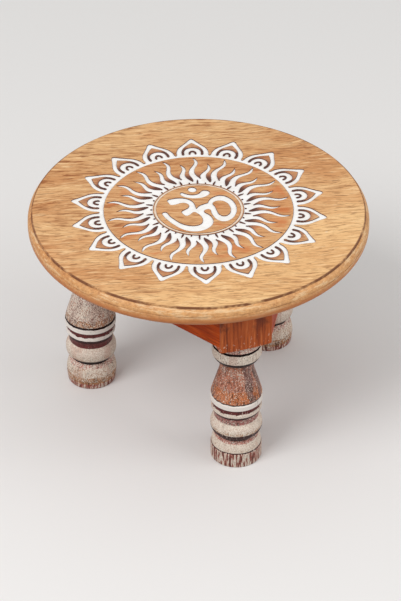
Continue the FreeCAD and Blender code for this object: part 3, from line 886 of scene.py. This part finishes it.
def turned_block():
    """The square block, its corners eased and its lower end clipped round by the lathe."""
    base, top = BLOCK_BASE / MM, TOP_BASE / MM
    bpy.ops.object.select_all(action="DESELECT")
    bpy.ops.mesh.primitive_cube_add(size=2 * BLOCK_HALF * MM)
    block = bpy.context.active_object
    edit(block)
    rise = (top - base) / (2 * BLOCK_HALF)
    bpy.ops.transform.resize(value=(1, 1, rise))
    bpy.ops.transform.translate(value=(0, 0, (top + base) / 2 * MM))
    bpy.ops.mesh.select_mode(type="EDGE")
    bpy.ops.mesh.select_all(action="DESELECT")
    stop_editing()
    for edge in block.data.edges:
        first, last = (block.data.vertices[index].co for index in edge.vertices)
        edge.select = abs(first.z - last.z) > BLOCK_HALF * MM
    bpy.ops.object.mode_set(mode="EDIT")
    bpy.ops.mesh.bevel(offset=1.0 * MM, segments=4)
    stop_editing()
    clip = turn_on_lathe("clip", [
        (0, base, 0), (19.4, base, 0), (20.0, base + 0.05, 0.2), (28.3, base + 1.2, 0), (30.0, base + 1.6, 0),
        (30.0, top + 1.0, 0), (0, top + 1.0, 0),
    ], CLIP_STEPS)
    combine(block, clip, "INTERSECT")
    return block


def cut_mortise(leg, side):
    """A slanting slot for the rail's tenon, cut while the leg stands on the X axis."""
    base, top = RAIL_BASE / MM, RAIL_TOP / MM
    shoulder = RAIL_MIDDLE * math.tan(RAIL_TURN) - BLOCK_HALF / math.cos(RAIL_TURN)
    clear_of_block = 12.0
    inner, outer = shoulder + TENON_LENGTH + SLACK, shoulder - clear_of_block
    bpy.ops.object.select_all(action="DESELECT")
    bpy.ops.mesh.primitive_cube_add(size=MM)
    slot = bpy.context.active_object
    edit(slot)
    tall = top - base - 2 * TENON_SHOULDER + 2 * SLACK
    bpy.ops.transform.resize(value=(TENON_THICKNESS + 2 * SLACK, inner - outer, tall))
    reach = (inner + outer) / 2 * side
    bpy.ops.transform.translate(value=(RAIL_MIDDLE * MM, reach * MM, (base + top) / 2 * MM))
    bpy.ops.transform.rotate(value=RAIL_TURN * side, orient_axis="Z", center_override=(0, 0, 0))
    stop_editing()
    give(slot, *leg.data.materials)
    use_stain(slot)
    combine(leg, slot, "DIFFERENCE")


def shaped_leg(name, foot, wash, stain):
    """Turns a leg, joins it to its block and slots it, standing on the X axis."""
    leg = turn_on_lathe(name, foot + LEG_SHAFT, LEG_STEPS, 10)
    block = turned_block()
    give(leg, wash, stain)
    give(block, wash, stain)
    use_stain(block)
    combine(leg, block, "UNION")
    edit(leg)
    bpy.ops.transform.translate(value=(LEG_CIRCLE, 0, 0))
    stop_editing()
    for side in (-1, 1):
        cut_mortise(leg, side)
    edit(leg)
    bpy.ops.mesh.remove_doubles(threshold=MERGE_GAP)
    stop_editing()
    return leg


def stand_leg(leg, index, angle):
    """Turns a finished leg to its place round the table."""
    edit(leg)
    # the rotate step turns the other way in a session without a window
    bpy.ops.transform.rotate(value=-math.radians(angle), orient_axis="Z", center_override=(0, 0, 0))
    stop_editing()
    pick_only(leg)
    bpy.ops.object.shade_smooth_by_angle(angle=math.radians(32))
    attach(leg, "root")
    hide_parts(f"leg_{index}")


def make_legs():
    """The front leg has a taller foot than the other two, which are alike."""
    stain = stained_block()
    front_wash = whitewashed_leg("whitewash_front", FRONT_WASH)
    side_wash = whitewashed_leg("whitewash_side", SIDE_WASH)
    front = shaped_leg("turned_leg_front", FRONT_FOOT, front_wash, stain)
    right = shaped_leg("turned_leg_right", SIDE_FOOT, side_wash, stain)
    left = right.copy()
    left.data = right.data.copy()
    left.name = "turned_leg_left"
    bpy.context.scene.collection.objects.link(left)
    for index, (leg, angle) in enumerate(zip((front, right, left), LEG_ANGLES), start=1):
        stand_leg(leg, index, angle)


def dress_cad_nodes():
    """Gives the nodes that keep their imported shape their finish."""
    for index, angle in enumerate(LEG_ANGLES, start=1):
        along = math.radians(angle + 60)
        give(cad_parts[f"rail_{index}"], stained_rail_with_painted_red_light(f"stained_rail_with_painted_red_light_{index}", along))
    give(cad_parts["top_screws"], zinc())


# Floor and lights

def pale_ground():
    """A plain pale floor: white where the camera, a mirror or glass sees it, and it keeps the shadow."""
    recipe = Recipe("pale_ground")
    rays = recipe.add("ShaderNodeLightPath").outputs
    seen = recipe.sums("MAXIMUM", rays["Is Camera Ray"], rays["Is Glossy Ray"])
    seen = recipe.sums("MAXIMUM", seen, rays["Is Transmission Ray"])
    shade = recipe.mix(seen, (0.45, 0.44, 0.43), (0.84, 0.83, 0.82))
    return recipe.done(shade, 0.9, 0.1)


def lay_floor():
    bpy.ops.object.select_all(action="DESELECT")
    bpy.ops.mesh.primitive_plane_add(size=8.0)
    floor = bpy.context.active_object
    floor.name = "floor"
    give(floor, pale_ground())


def add_lamp(name, place, size, power):
    """A soft square lamp aimed at the middle of the table."""
    aim = Vector((0, 0, 0.1))
    lamp = bpy.data.lights.new(name, "AREA")
    lamp.size = size
    lamp.energy = power
    holder = bpy.data.objects.new(name, lamp)
    bpy.context.scene.collection.objects.link(holder)
    holder.location = place
    holder.rotation_euler = (aim - Vector(place)).to_track_quat("-Z", "Y").to_euler()


def light_studio():
    world = bpy.data.worlds.new("studio")
    bpy.context.scene.world = world
    world.use_nodes = True
    sky = world.node_tree.nodes["Background"]
    sky.inputs["Color"].default_value = (1.0, 0.99, 0.98, 1)
    sky.inputs["Strength"].default_value = 0.55
    add_lamp("key_lamp", (-1.3, -0.6, 1.7), 1.0, 22.0)
    add_lamp("fill_lamp", (1.2, -1.0, 1.2), 1.2, 9.0)
    bpy.context.scene.view_settings.view_transform = "Standard"


place_camera()
make_carved_top()
make_legs()
dress_cad_nodes()
lay_floor()
light_studio()
